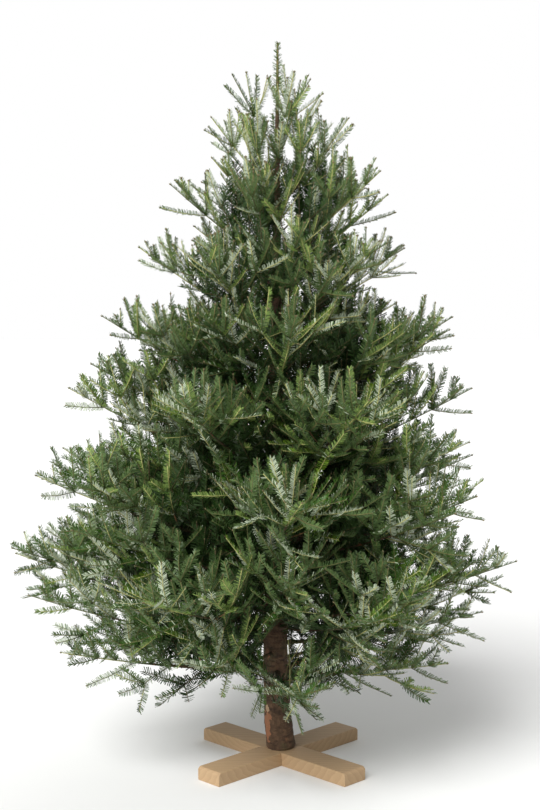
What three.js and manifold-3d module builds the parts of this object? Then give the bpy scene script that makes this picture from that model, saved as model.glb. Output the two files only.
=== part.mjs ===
// A cut fir sold as a Christmas tree, standing on a plain half-lapped timber cross.
// The trunk carries nine tiers of foliage. The two lowest stand out on bare boughs.
// The others start at the trunk.
// Millimetres, +Z up. The origin is under the middle of the cross, on the floor.
import * as THREE from "three";
import { mergeVertices } from "three/addons/utils/BufferGeometryUtils.js";
import Module from "manifold-3d";

const wasm = await Module();
wasm.setup();

// ---- Driving dimensions -------------------------------------------------------------------------

const GAP = 0.3; // clearance between pieces that meet

const PLANK = { length: 600, width: 90, thickness: 40, chamfer: 7 };
const STAND_TURN = 45; // degrees that the cross is turned from the X axis
const PEG = { radius: 18, length: 30, sides: 8 }; // the pared foot of the trunk, in the bore of the cross

const CUT_HEIGHT = PLANK.thickness + GAP; // where the trunk's flat cut rests
const TREE_HEIGHT = 2100; // from the cut to the tip of the leader
const TRUNK = {
  height: 1890, // the leader grows on from here
  radius: 41.7, // at the cut, without the flare
  tipRadius: 5.5,
  flare: 2.8,
  flareHeight: 90,
  sweep: 20, // how far the butt stands to the right of the stem above it
  sweepHeight: 120,
  lean: 8, // how far the tip comes back to the right
  sides: 10,
  steps: 11,
  crowding: 1.25, // the rings lie closer together near the foot
};

// One tier for each whorl, from the ground up. Heights are above the cut.
// attach: where its boughs leave the trunk. rise: how far their tips are above that.
// dip: how far they hang on the way.
// reach: from the trunk's axis to the tips. turn: the azimuth of its first bough, in degrees.
// lopsided: the share by which they reach further to the left than the mean, and less to the right.
// nodes: how many times side sprays stand on each stem. boughShare: the bare share of the reach, for boughs.
const TIERS = [
  {
    count: 5, attach: 235, rise: 95, dip: 75, reach: 615,
    lopsided: 0.11, turn: 200, nodes: 3, boughShare: 0.36,
  },
  {
    count: 6, attach: 395, rise: 205, dip: 90, reach: 755,
    lopsided: 0.04, turn: 180, nodes: 3, boughShare: 0.36,
  },
  {
    count: 6, attach: 600, rise: 250, dip: 80, reach: 700,
    lopsided: 0.05, turn: 152, nodes: 4,
  },
  {
    count: 6, attach: 815, rise: 270, dip: 60, reach: 590,
    lopsided: 0.02, turn: 180, nodes: 3,
  },
  {
    count: 5, attach: 1030, rise: 270, dip: 50, reach: 500,
    lopsided: 0, turn: 200, nodes: 3,
  },
  {
    count: 5, attach: 1240, rise: 260, dip: 40, reach: 405,
    lopsided: -0.02, turn: 166, nodes: 2,
  },
  {
    count: 5, attach: 1440, rise: 255, dip: 30, reach: 325,
    lopsided: 0, turn: 185, nodes: 2,
  },
  {
    count: 4, attach: 1620, rise: 245, dip: 25, reach: 220,
    lopsided: 0, turn: 155, nodes: 2,
  },
  {
    count: 3, attach: 1770, rise: 235, dip: 20, reach: 135,
    lopsided: 0, turn: 170, nodes: 2,
  },
];
const REACH_SPREAD = 0.05; // the boughs of a tier differ by this share either way
const HEIGHT_SPREAD = 12; // and leave the trunk this far above or below their tier
const TURN_SPREAD = 4; // degrees, either way
const WANDER = 5; // degrees that a bough bends aside on its way out

// share: a bough's radius beside the trunk's. taper: the radius at its end beside that at the trunk.
const BOUGH = { share: 0.32, least: 3.5, most: 11, taper: 0.8, sides: 5, steps: 3 };
const STEM = { sides: 3, steps: 3, tipRadius: 2.6, lap: 4, bare: 0.04 };
const END_SPRAY_SHARE = 0.36; // of the reach
const INNER_NODE = 0.2; // no node stands nearer the trunk than this share of the reach
const NODE_SHIFT = 0.4; // the outermost node stands this share of a step in from the end spray
const ROOT_DEPTH = 0.35; // how far behind the stem's middle a spray starts, beside the stem's radius
const RANK_STEP = 16; // between the sprays of one node, along the stem
const SPRAY = {
  terminal: 175, // the longest end spray
  shortest: 90,
  longest: 320,
  base: 100, // a side spray is this long at the tip of its bough
  growth: 0.5, // and grows by this share of its distance from the tip
  vary: 0.12,
  bend: 0.07, // how far its tip turns up, as a share of its length
  thickness: 0.045, // of its length, at the thickest
  thickest: 0.25, // how far that is from the root
};
// A spray's teeth are its side shoots. Their tips and the notches behind them, along and aside,
// as shares of its length.
const TEETH = [
  { tip: [0.45, 0.34], notch: [0.51, 0.13] },
  { tip: [0.73, 0.2], notch: [0.78, 0.07] },
];
// The sprays of one node. turn is the angle from the stem and lift the rise out of its plane, in degrees.
// Each is varied either way. share is their length beside that of a side spray.
// The nodes are counted from the tip, the first of them even.
const RANKS = [
  { nodes: "all", turn: 50, turnSpread: 8, lift: 16, liftSpread: 16, roll: 38, share: 1 },
  { nodes: "all", turn: -50, turnSpread: 8, lift: 16, liftSpread: 16, roll: -38, share: 1 },
  { nodes: "all", turn: 0, turnSpread: 35, lift: 50, liftSpread: 10, roll: 45, share: 0.9 },
  { nodes: "odd", turn: 0, turnSpread: 40, lift: -34, liftSpread: 8, roll: -45, share: 0.85 },
];
const TURN_TRIES = 6; // a spray that would leave its space or grow through another is turned
const SCALE_TRIES = [1, 0.86, 0.72, 0.6]; // then shortened, then skipped
const ROLL_SPREAD = 22; // degrees that a spray turns about its own twig, either way
const SPACE_MARGIN = 2;
const FLOOR_CLEARANCE = 115; // above the cut

const LEADER = {
  radius: 5,
  tipRadius: 3,
  bud: { from: 0.92, radius: 4.5, tipRadius: 1 },
  needles: { count: 14, length: 28, width: 6, angle: 42, from: 0.08, to: 0.9 },
};
const GOLDEN_ANGLE = 137.5; // degrees between a needle and the next round the leader

// ---- Small helpers ------------------------------------------------------------------------------

const radians = THREE.MathUtils.degToRad;
const lerp = THREE.MathUtils.lerp;
const clamp = THREE.MathUtils.clamp;
const UP = new THREE.Vector3(0, 0, 1);

// A stream of numbers from 0 to 1 that is the same on each run.
function seeded(seed) {
  let state = (seed * 7919 + 104729) % 2147483647;
  const next = () => {
    state = (state * 48271) % 2147483647;
    return state / 2147483647;
  };
  for (let i = 0; i < 4; i++) next();
  return next;
}

const spread = (random, most) => (2 * random() - 1) * most;

// The turn from one azimuth to another, between -pi and pi.
const turnBetween = (from, to) => Math.atan2(Math.sin(to - from), Math.cos(to - from));

// A closed solid from a geometry's positions alone, with its shared corners merged.
function toSolid(geometry) {
  const bare = geometry.clone().deleteAttribute("normal").deleteAttribute("uv");
  const merged = mergeVertices(bare);
  const mesh = new wasm.Mesh({
    numProp: 3,
    vertProperties: new Float32Array(merged.getAttribute("position").array),
    triVerts: new Uint32Array(merged.index.array),
  });
  return new wasm.Manifold(mesh);
}

function toGeometry(solid) {
  const mesh = solid.getMesh();
  return new THREE.BufferGeometry()
    .setAttribute("position", new THREE.BufferAttribute(mesh.vertProperties, 3))
    .setIndex(new THREE.BufferAttribute(mesh.triVerts, 1));
}

function indexed(points, triangles) {
  const geometry = new THREE.BufferGeometry().setFromPoints(points);
  geometry.setIndex(triangles.flat());
  return geometry;
}

// Two directions square to a limb, so that its sections don't twist.
function sectionAxes(along) {
  const guide = Math.abs(along.z) > 0.97 ? new THREE.Vector3(0, 1, 0) : UP;
  const across = new THREE.Vector3().crossVectors(along, guide).normalize();
  return [across, new THREE.Vector3().crossVectors(across, along)];
}

// A stack of rings with the same number of corners, closed by a flat cap at each end.
function skin(rings) {
  const sides = rings[0].length;
  const triangles = [];
  for (let i = 0; i + 1 < rings.length; i++) {
    for (let j = 0; j < sides; j++) {
      const [a, b] = [i * sides + j, i * sides + ((j + 1) % sides)];
      triangles.push([a, b, b + sides], [a, b + sides, a + sides]);
    }
  }
  const last = (rings.length - 1) * sides;
  for (let j = 1; j + 1 < sides; j++) {
    triangles.push([0, j + 1, j], [last, last + j, last + j + 1]);
  }
  return indexed(rings.flat(), triangles);
}

function ring(centre, across, over, radius, sides) {
  return Array.from({ length: sides }, (_, j) => {
    const angle = (2 * Math.PI * j) / sides;
    return centre
      .clone()
      .addScaledVector(across, -radius * Math.cos(angle))
      .addScaledVector(over, radius * Math.sin(angle));
  });
}

// A tapering limb along part of a curve.
function limb(line, [from, to], [radiusFrom, radiusTo], sides, steps) {
  const rings = [];
  for (let i = 0; i <= steps; i++) {
    const t = lerp(from, to, i / steps);
    const [across, over] = sectionAxes(line.getTangent(t));
    rings.push(ring(line.getPoint(t), across, over, lerp(radiusFrom, radiusTo, i / steps), sides));
  }
  return toSolid(skin(rings));
}

// The middle of such a limb at t, where it runs straight from ring to ring, and its radius there.
function middle(line, [from, to], [radiusFrom, radiusTo], steps, t) {
  const share = clamp((t - from) / (to - from), 0, 1);
  const i = Math.min(Math.floor(share * steps), steps - 1);
  const ringAt = (k) => line.getPoint(lerp(from, to, k / steps));
  const centre = ringAt(i).lerp(ringAt(i + 1), share * steps - i);
  return { centre, radius: lerp(radiusFrom, radiusTo, share) };
}

// ---- Trunk --------------------------------------------------------------------------------------

function trunkX(height) {
  return (TRUNK.lean * height) / TREE_HEIGHT - TRUNK.sweep * (1 - Math.exp(-height / TRUNK.sweepHeight));
}

function trunkRadius(height) {
  const taper = lerp(TRUNK.radius, TRUNK.tipRadius, height / TRUNK.height);
  return taper + TRUNK.flare * Math.exp(-height / TRUNK.flareHeight);
}

// The trunk's solid, grown outwards by a clearance where it is used to cut others.
function trunkSolid(grown = 0) {
  const rings = [];
  for (let i = 0; i <= TRUNK.steps; i++) {
    const height = TRUNK.height * (i / TRUNK.steps) ** TRUNK.crowding;
    const centre = new THREE.Vector3(trunkX(height), 0, CUT_HEIGHT + height);
    const [across, over] = sectionAxes(UP);
    rings.push(ring(centre, across, over, trunkRadius(height) + grown, TRUNK.sides));
  }
  return toSolid(skin(rings));
}

function uprightCylinder(radius, low, high, sides) {
  const geometry = new THREE.CylinderGeometry(radius, radius, high - low, sides);
  geometry.rotateX(Math.PI / 2).translate(0, 0, (low + high) / 2);
  return toSolid(geometry);
}

// The foot is pared to a peg below the flat cut.
function trunk() {
  const peg = uprightCylinder(PEG.radius, CUT_HEIGHT - PEG.length, CUT_HEIGHT + PEG.length, PEG.sides);
  return trunkSolid().add(peg);
}

// ---- Stand --------------------------------------------------------------------------------------

// A plank's outline from its side. The lower plank's half lap is cut from above, the upper one's from below.
function plankOutline(isLower) {
  const { length, thickness, chamfer, width } = PLANK;
  const end = length / 2;
  const notch = width / 2 + GAP;
  const lap = (thickness + (isLower ? -GAP : GAP)) / 2;
  const below = isLower ? [] : [[-notch, 0], [-notch, lap], [notch, lap], [notch, 0]];
  const above = isLower ? [[notch, thickness], [notch, lap], [-notch, lap], [-notch, thickness]] : [];
  const corners = [
    [-end, 0],
    ...below,
    [end, 0],
    [end, thickness - chamfer],
    [end - chamfer, thickness],
    ...above,
    [chamfer - end, thickness],
    [-end, thickness - chamfer],
  ];
  return new THREE.Shape(corners.map(([x, z]) => new THREE.Vector2(x, z)));
}

// A plank of the cross, with its share of the bore for the trunk's peg.
function plank(isLower) {
  const outline = plankOutline(isLower);
  const geometry = new THREE.ExtrudeGeometry(outline, { depth: PLANK.width, bevelEnabled: false });
  geometry.translate(0, 0, -PLANK.width / 2).rotateX(Math.PI / 2);
  geometry.rotateZ(radians(isLower ? STAND_TURN : STAND_TURN + 90));
  const bore = uprightCylinder(PEG.radius + GAP, CUT_HEIGHT - PEG.length - GAP, 2 * CUT_HEIGHT, PEG.sides);
  return toSolid(geometry).subtract(bore);
}

// ---- Tiers, boughs and the spaces between them --------------------------------------------------

// The height above the cut of a tier's own surface, on which its boughs lie, at a distance from the axis.
function tierHeight(tier, distance) {
  const s = distance / tier.reach;
  return tier.attach + tier.rise * s + tier.dip * (s * s - s);
}

// A mass keeps between the surfaces half way to the tiers above and below.
function spaceAbove(index, distance) {
  const tier = TIERS[index];
  if (index + 1 === TIERS.length) return Infinity;
  return (tierHeight(tier, distance) + tierHeight(TIERS[index + 1], distance)) / 2;
}

function spaceBelow(index, distance) {
  if (index > 0) return spaceAbove(index - 1, distance);
  const half = (tierHeight(TIERS[1], distance) - tierHeight(TIERS[0], distance)) / 2;
  return Math.max(FLOOR_CLEARANCE, tierHeight(TIERS[0], distance) - half);
}

// The azimuth, reach and height of each bough of a tier, drawn once.
function planTier(tier, index) {
  const random = seeded(index + 1);
  return Array.from({ length: tier.count }, (_, i) => {
    const azimuth = radians(tier.turn + (360 * i) / tier.count + spread(random, TURN_SPREAD));
    const side = 1 - tier.lopsided * Math.cos(azimuth);
    return {
      azimuth,
      reach: tier.reach * side * (1 + spread(random, REACH_SPREAD)),
      lift: spread(random, HEIGHT_SPREAD),
      wander: radians(spread(random, WANDER)),
    };
  });
}

// The line of a bough, from the trunk's axis to its tip. It lies on the surface of its tier.
class BoughLine extends THREE.Curve {
  constructor(tier, plan) {
    super();
    this.tier = tier;
    this.plan = plan;
    this.startX = trunkX(tier.attach);
  }
  getPoint(t, target = new THREE.Vector3()) {
    const { azimuth, reach, lift, wander } = this.plan;
    const distance = t * reach;
    const turn = azimuth + wander * t * t;
    const height = tierHeight(this.tier, distance) + lift;
    return target.set(
      this.startX + distance * Math.cos(turn),
      distance * Math.sin(turn),
      CUT_HEIGHT + height,
    );
  }
}

const boughRadius = (tier) => clamp(BOUGH.share * trunkRadius(tier.attach), BOUGH.least, BOUGH.most);

// The wedge that belongs to one mass of a tier, up to half way to the boughs beside it.
function wedge(plans, i) {
  const here = plans[i].azimuth;
  const next = plans[(i + 1) % plans.length].azimuth;
  const before = plans[(i + plans.length - 1) % plans.length].azimuth;
  const full = 2 * Math.PI;
  const ahead = (((next - here) % full) + full) % full;
  const behind = (((here - before) % full) + full) % full;
  return { here, ahead: ahead / 2, behind: behind / 2 };
}

function insideSpace(point, index, { here, ahead, behind }) {
  const x = point.x - trunkX(TIERS[index].attach);
  const distance = Math.hypot(x, point.y);
  const height = point.z - CUT_HEIGHT;
  const turn = turnBetween(here, Math.atan2(point.y, x));
  const margin = SPACE_MARGIN / Math.max(distance, SPACE_MARGIN);
  return (
    distance > trunkRadius(height) + SPACE_MARGIN &&
    turn < ahead - margin &&
    turn > -behind + margin &&
    height < spaceAbove(index, distance) - SPACE_MARGIN &&
    height > spaceBelow(index, distance) + SPACE_MARGIN
  );
}

// ---- Sprays -------------------------------------------------------------------------------------

// A toothed blade along +X. It is a point at its root, thickest a little way along, and sharp at its rim.
// Both its faces fan out from where it is thickest.
function sprayBlade(length) {
  const half = [...TEETH.flatMap(({ tip, notch }) => [tip, notch]), [1, 0]];
  const rim = [...half, ...half.slice(0, -1).reverse().map(([x, y]) => [x, -y])];
  const ridgeLift = SPRAY.bend * SPRAY.thickest ** 2;
  const ridge = [1, -1].map((level) => [SPRAY.thickest, 0, ridgeLift + (level * SPRAY.thickness) / 2]);
  const points = [[0, 0, 0], ...ridge, ...rim.map(([x, y]) => [x, y, SPRAY.bend * x * x])];
  const [root, top, bottom, first] = [0, 1, 2, 3];
  const last = points.length - 1;
  const triangles = [[root, top, first], [root, first, bottom], [root, last, top], [root, bottom, last]];
  for (let i = first; i < last; i++) triangles.push([top, i + 1, i], [bottom, i, i + 1]);
  return indexed(points.map(([x, y, z]) => new THREE.Vector3(x, y, z).multiplyScalar(length)), triangles);
}

// Puts a blade at a point, along a direction, with its flat side towards a normal.
function placeBlade(geometry, root, along, normal) {
  const across = new THREE.Vector3().crossVectors(normal, along).normalize();
  const over = new THREE.Vector3().crossVectors(along, across);
  return geometry.applyMatrix4(new THREE.Matrix4().makeBasis(along, across, over).setPosition(root));
}

// The direction of a spray on its stem, and the direction that its flat side faces. Both turn with the stem.
function sprayAxes(forward, { turn, lift, roll }) {
  const over = sectionAxes(forward)[1];
  const along = forward.clone().applyAxisAngle(over, turn);
  const hinge = new THREE.Vector3().crossVectors(along, over).normalize();
  along.applyAxisAngle(hinge, lift);
  const normal = over.clone().addScaledVector(along, -over.dot(along)).normalize();
  return [along, normal.applyAxisAngle(along, roll)];
}

// A spray rooted at a point of the stem, or null where none fits the space beside the others.
function fitSpray({ forward, from, sunk, length, choices, keeps, others }) {
  const point = new THREE.Vector3();
  for (const scale of SCALE_TRIES) {
    for (const angles of choices) {
      const [along, normal] = sprayAxes(forward, angles);
      const root = from.clone().addScaledVector(along, -sunk);
      const blade = placeBlade(sprayBlade(length * scale), root, along, normal);
      const corners = blade.getAttribute("position");
      let inside = true;
      for (let i = 1; i < corners.count && inside; i++) inside = keeps(point.fromBufferAttribute(corners, i));
      if (!inside) continue;
      const solid = toSolid(blade);
      if (others.every((other) => other.intersect(solid).isEmpty())) return solid;
    }
  }
  return null;
}

// ---- Masses of foliage --------------------------------------------------------------------------

// One mass: a stem that grows on from its bough or the trunk, with an end spray and ranks of sprays
// at its nodes.
function foliage(index, plans, i) {
  const tier = TIERS[index];
  const plan = plans[i];
  const line = new BoughLine(tier, plan);
  const random = seeded(100 * (index + 1) + i);
  const sector = wedge(plans, i);
  const keeps = (point) => insideSpace(point, index, sector);
  const terminal = clamp(END_SPRAY_SHARE * plan.reach, SPRAY.shortest, SPRAY.terminal);
  const stemEnd = 1 - terminal / plan.reach;
  const stemStart = tier.boughShare ? tier.boughShare + GAP / plan.reach : 0;
  const thick = boughRadius(tier) * (tier.boughShare ? BOUGH.taper : 1);
  const span = [stemStart, stemEnd];
  const radii = [thick, STEM.tipRadius];
  const stem = limb(line, span, radii, STEM.sides, STEM.steps);

  // The end spray continues the stem, and its tip is the tip of the bough.
  const end = middle(line, span, radii, STEM.steps, stemEnd - STEM.lap / plan.reach).centre;
  const along = line.getPoint(1).sub(end);
  const length = along.length();
  along.normalize();
  const normal = sectionAxes(along)[1].applyAxisAngle(along, radians(spread(random, ROLL_SPREAD)));
  const sprays = [toSolid(placeBlade(sprayBlade(length), end, along, normal))];

  const first = Math.max(stemStart + STEM.bare, INNER_NODE);
  for (let node = 0; node < tier.nodes; node++) {
    const t = lerp(stemEnd, first, (node + NODE_SHIFT) / tier.nodes);
    const full = clamp(SPRAY.base + SPRAY.growth * (1 - t) * plan.reach, SPRAY.shortest, SPRAY.longest);
    const ranks = RANKS.filter(({ nodes }) => nodes === "all" || node % 2);
    ranks.forEach((rank, r) => {
      const choices = Array.from({ length: TURN_TRIES }, () => ({
        turn: radians(rank.turn + spread(random, rank.turnSpread)),
        lift: radians(rank.lift + spread(random, rank.liftSpread)),
        roll: radians(rank.roll + spread(random, ROLL_SPREAD)),
      }));
      const root = t - (RANK_STEP * r) / plan.reach;
      const { centre, radius } = middle(line, span, radii, STEM.steps, root);
      const spray = fitSpray({
        forward: line.getTangent(root),
        from: centre,
        sunk: ROOT_DEPTH * radius,
        length: full * rank.share * (1 + spread(random, SPRAY.vary)),
        choices,
        keeps,
        others: sprays,
      });
      if (spray) sprays.push(spray);
    });
  }
  const whole = wasm.Manifold.union([stem, ...sprays]);
  return tier.boughShare ? whole : whole.subtract(trunkSolid(GAP));
}

// The bare inner part of a bough. Its end at the trunk follows the bark.
function bough(index, plan) {
  const tier = TIERS[index];
  const thick = boughRadius(tier);
  const line = new BoughLine(tier, plan);
  const solid = limb(line, [0, tier.boughShare], [thick, thick * BOUGH.taper], BOUGH.sides, BOUGH.steps);
  return solid.subtract(trunkSolid(GAP));
}

// The leader: an upright shoot above the trunk's tip, with needles all round and a bud at its end.
function leader() {
  const base = new THREE.Vector3(trunkX(TRUNK.height), 0, CUT_HEIGHT + TRUNK.height + GAP);
  const tip = new THREE.Vector3(trunkX(TREE_HEIGHT), 0, CUT_HEIGHT + TREE_HEIGHT);
  const line = new THREE.LineCurve3(base, tip);
  const { bud, needles } = LEADER;
  const parts = [
    limb(line, [0, (1 + bud.from) / 2], [LEADER.radius, LEADER.tipRadius], STEM.sides, 1),
    limb(line, [bud.from, 1], [bud.radius, bud.tipRadius], STEM.sides, 1),
  ];
  for (let i = 0; i < needles.count; i++) {
    const root = line.getPoint(lerp(needles.from, needles.to, i / (needles.count - 1)));
    const along = UP.clone().applyAxisAngle(new THREE.Vector3(1, 0, 0), radians(needles.angle));
    along.applyAxisAngle(UP, i * radians(GOLDEN_ANGLE));
    const [across, over] = sectionAxes(along);
    const foot = ring(root, across, over, needles.width / 2, 3);
    const point = root.clone().addScaledVector(along, needles.length);
    parts.push(toSolid(indexed([...foot, point], [[0, 2, 1], [0, 1, 3], [1, 2, 3], [2, 0, 3]])));
  }
  return wasm.Manifold.union(parts);
}

// ---- The tree -----------------------------------------------------------------------------------

const finish = (color, roughness) => new THREE.MeshStandardMaterial({ color, roughness, metalness: 0 });
const barkFinish = finish(0x58452f, 0.9);
const timberFinish = finish(0xc9a878, 0.7);
const needleFinishes = [finish(0x3f5a2c, 0.6), finish(0x4d6a40, 0.6), finish(0x5c7850, 0.6)];

const tree = new THREE.Group();

function addPiece(name, solid, material) {
  const mesh = new THREE.Mesh(toGeometry(solid), material);
  mesh.name = name;
  tree.add(mesh);
}

addPiece("stand_plank_lower", plank(true), timberFinish);
addPiece("stand_plank_upper", plank(false), timberFinish);
addPiece("trunk", trunk(), barkFinish);
TIERS.forEach((tier, index) => {
  const plans = planTier(tier, index);
  plans.forEach((plan, i) => {
    const label = `${index + 1}${"abcdef"[i]}`;
    if (tier.boughShare) addPiece(`bough_${label}`, bough(index, plan), barkFinish);
    const needleFinish = needleFinishes[(index + i) % needleFinishes.length];
    addPiece(`foliage_${label}`, foliage(index, plans, i), needleFinish);
  });
});
addPiece("foliage_leader", leader(), needleFinishes[1]);

export default tree;
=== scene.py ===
"""A cut fir dressed for its close view: bark, boughs, twigs, buds, needles and a plain timber cross.

The boughs follow the same plan as the solids of the packed part. Lengths of the plan are in millimetres
above the trunk's cut, and every mesh is made in metres.
"""

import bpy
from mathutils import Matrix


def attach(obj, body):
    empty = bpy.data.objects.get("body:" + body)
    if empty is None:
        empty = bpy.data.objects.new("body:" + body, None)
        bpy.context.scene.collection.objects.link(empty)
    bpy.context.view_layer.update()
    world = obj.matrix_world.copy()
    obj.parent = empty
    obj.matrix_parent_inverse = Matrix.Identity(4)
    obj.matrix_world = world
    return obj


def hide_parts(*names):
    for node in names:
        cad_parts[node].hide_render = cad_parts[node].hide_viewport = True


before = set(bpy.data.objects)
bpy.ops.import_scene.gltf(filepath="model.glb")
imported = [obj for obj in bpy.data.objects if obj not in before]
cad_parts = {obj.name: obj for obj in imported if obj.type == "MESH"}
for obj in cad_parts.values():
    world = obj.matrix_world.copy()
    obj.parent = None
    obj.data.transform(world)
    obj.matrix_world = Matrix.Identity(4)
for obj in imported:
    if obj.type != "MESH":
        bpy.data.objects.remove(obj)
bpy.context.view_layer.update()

import functools
import math
import random

import bmesh
import bpy
import numpy as np
from mathutils import Matrix, Vector, noise

bl_info = {
    "name": "Cut fir on a timber cross",
    "version": (1, 0, 0),
    "blender": (4, 5, 0),
    "location": "View3D > Sidebar > Fir",
    "description": "Grows the bark, boughs, twigs, buds and needles of a cut fir round its packed solids",
    "category": "Object",
}

# ---- Plan of the tree, as in the part's source ---------------------------------------------------

MM = 0.001
CUT_HEIGHT = 40.3
TREE_HEIGHT = 2100
TRUNK = {
    "height": 1890, "radius": 41.7, "tip_radius": 5.5, "flare": 2.8, "flare_height": 90,
    "sweep": 20, "sweep_height": 120, "lean": 8,
}
PEG = {"radius": 17.5, "length": 29}

TIER_FIELDS = ("count", "attach", "rise", "dip", "reach", "lopsided", "turn")
TIER_PLAN = (
    (5, 235, 95, 75, 615, 0.11, 200),
    (6, 395, 205, 90, 755, 0.04, 180),
    (6, 600, 250, 80, 700, 0.05, 152),
    (6, 815, 270, 60, 590, 0.02, 180),
    (5, 1030, 270, 50, 500, 0, 200),
    (5, 1240, 260, 40, 405, -0.02, 166),
    (5, 1440, 255, 30, 325, 0, 185),
    (4, 1620, 245, 25, 220, 0, 155),
    (3, 1770, 235, 20, 135, 0, 170),
)
TIERS = [dict(zip(TIER_FIELDS, row)) for row in TIER_PLAN]
REACH_SPREAD = 0.05  # as a share of the reach
HEIGHT_SPREAD = 12
TURN_SPREAD = 4  # in degrees, as is the next
WANDER = 5
BOUGH = {"share": 0.32, "least": 3.5, "most": 11}
UP = Vector((0, 0, 1))
SPRAY = {"shortest": 90, "longest": 320, "base": 100, "growth": 0.5}
SCALE_TRIES = (1, 0.86, 0.72, 0.6)
FLOOR_CLEARANCE = 115

# The side axes of one node of a bough: turn from the bough, lift out of its plane, roll about
# their own line, in degrees, each with its spread, and the share of a full side axis's length.
RANK_FIELDS = ("odd_only", "turn", "turn_spread", "lift", "lift_spread", "roll", "share")
RANK_PLAN = (
    (False, 50, 8, 16, 16, 38, 1),
    (False, -50, 8, 16, 16, -38, 1),
    (False, 0, 35, 50, 10, 45, 0.9),
    (True, 0, 40, -34, 8, -45, 0.85),
)
RANKS = [dict(zip(RANK_FIELDS, row)) for row in RANK_PLAN]
ROLL_SPREAD = 22

# ---- Finer growth, carried on from the same plan --------------------------------------------------

YEAR = 118  # a year's growth along a bough
SIDE_YEAR = 118  # and along its side axes
TWIG_YEAR = 106  # and along theirs
SIDE_SHARE = 0.88  # a side axis is this long beside what its bough grows beyond the node
SIDE_EXTRA = 25  # and this much longer
TWIG_SHARE = 0.72
TWIG_EXTRA = 28
TWIG_LONGEST = 170
SPACE_SLACK = 55  # fine twigs may pass the edge of a mass's own space by this much
LOWEST_SLACK = 16  # but the lowest ones pass their underside by no more than this
CLEAR_OF_TRUNK = 6
# A gap low in the crown, through which the trunk shows: the way it faces, half its width, its lowest
# and highest place on the trunk, and how steeply it rises outwards.
TRUNK_GAP = {"turn": 270, "half_width": 40, "low": 225, "high": 325, "slope": 0.27}
BARE_SHARE = 0.08  # of a bough's reach, next to the trunk, carries no needles
FULL_SHARE = 0.34  # from here outwards the needles stand at their full number
OLDEST_GREEN = 4  # years that needles stay on a shoot
# The needles of such shoots take the deep tint, a darker green painted as shade; on the old shoots it is
# partly the darker colour of old needles too.
SHADED_SHARE = 0.61  # within this share of a bough's reach the needles are the shaded ones
SHADED_SPREAD = 30  # give or take this much
SHADED_AGE = 2  # and on shoots this old
OWN_TINT = 0.5  # share of the finest sprays with a tint of their own

# The narrow and open top of the crown, by the number of the tier from which it holds.
STANDING_FROM = 3  # single shoots also stand on the boughs themselves
NARROW_FROM = 6  # the side axes stay closer to their boughs
SPARSE_FROM = 7  # the crown is open, and its shoots stand steeply
NARROW_TURN = 0.7
NARROW_LENGTH = 0.95
STEEPER = 12  # degrees more lift of the side axes in the open top
HIGH_NEEDLES = 0.85  # length of the needles near the top beside those below
HIGH_SINGLES = 1.2  # and of the single shoots
HANGING_TIERS = 2  # the lowest tiers, whose boughs have a hanging side axis at every node

# Smaller boughs between one whorl and the next: how many, their reach beside that of a whorl's, the
# azimuth of the first of them and the spread of it and of their wander, in degrees, and their
# thickness beside a whorl's. They are dealt to heights between the two whorls in golden steps.
BETWEEN = (8, 8, 8, 7, 7, 6, 5, 4)
BETWEEN_REACH = (0.74, 1.0)
BETWEEN_TURN = (248, 270, 256, 284, 252, 285, 262, 268)
BETWEEN_SPREAD = 8
BETWEEN_THICKNESS = 0.6
BETWEEN_HEIGHT = {"step": 0.618, "start": 0.3, "range": 0.84, "lowest": 0.08}
BETWEEN_SEED = 400
BOUGH_SEED = 1000

# Fine axes and single shoots. Angles are in degrees.
RISE = 12  # a side axis turns up this much each year
RISE_SPREAD = 7
BEND = 7  # and aside by up to this much
TWIG_TURN = 44  # a finer axis turns this far from the one that it stands on
TWIG_TURN_SPREAD = 9
TWIG_TILT = 18
NODE_SPREAD = 5  # how far behind its node a finer axis may start
HALFWAY_SHARE = 0.6  # length of the side axes half way between two nodes, beside those at a node
SINGLE_SHOOT = 108  # a single shoot that stands up or hangs from a node
SINGLE_TURN = 34
SINGLE_ROLL = 60
STANDING_LIFT = (20, 50)
HANGING_LIFT = (-40, -15)
BOUGH_LIFT = (25, 60)  # of those that stand on the boughs themselves
BOUGH_TURNS = (25, -25)
VARIED = {"shoot": 0.15, "twig": 0.2, "single": 0.25, "side": 0.12, "halfway": 0.2}  # lengths, as shares

# The leader: its radius at its foot and tip, its needles, and what its bud leaves of its height.
LEADER = {
    "from": 1480, "foot": 5.5, "tip": 2.8, "sides": 8, "rings": 6, "needle": 16, "width": 2.4,
    "pitch": 1.0, "bud": 6, "sunk": 3, "seed": 77,
}

# How needles stand on a shoot: how many are in the upper rank, where the ranks stand about the shoot,
# in radians, how far the needles lean out from it, in degrees, and how much less at its tip.
NEEDLE = {
    "upper": 0.24, "upper_around": (0.6, 1.3), "around": (0.45, 0.14), "lean": 72, "tip_lean": 32,
    "old_tip_lean": 8, "lean_spread": 3, "upper_lean": 0.85, "upper_size": 0.82, "size": (0.92, 1.08),
    "width": (0.85, 1.1), "twist": 0.35, "round_twist": 1.6, "turned": (2.2, 3.6), "curl": (-1, 1.8),
    "wring": 0.3,
}
INNER_GAP = 1.25  # the larger needles deep in the crown stand this much further apart for their size
GLINT_SHARES = (0.8, 0.6)  # needles turned out on a shoot that glints, and on others for each glint
NEEDLE_SEED = 50
BUD_SEED = 7

TINTS = ("deep", "green", "silver", "fresh")
PALE_TINTS = ("silver", "fresh")  # the sprays whose young twigs are pale
BANDS = (("low", 0, 2), ("middle", 2, 4), ("high", 4, 9))  # tiers from, and up to
# How often each tint is dealt to a spray, by band.
TINT_SHARES = {"low": (0, 6, 2, 1), "middle": (0, 6, 2, 2), "high": (0, 5, 2, 2)}


def lerp(low, high, share):
    return low + (high - low) * share


def clamp(value, low, high):
    return max(low, min(high, value))


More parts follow.
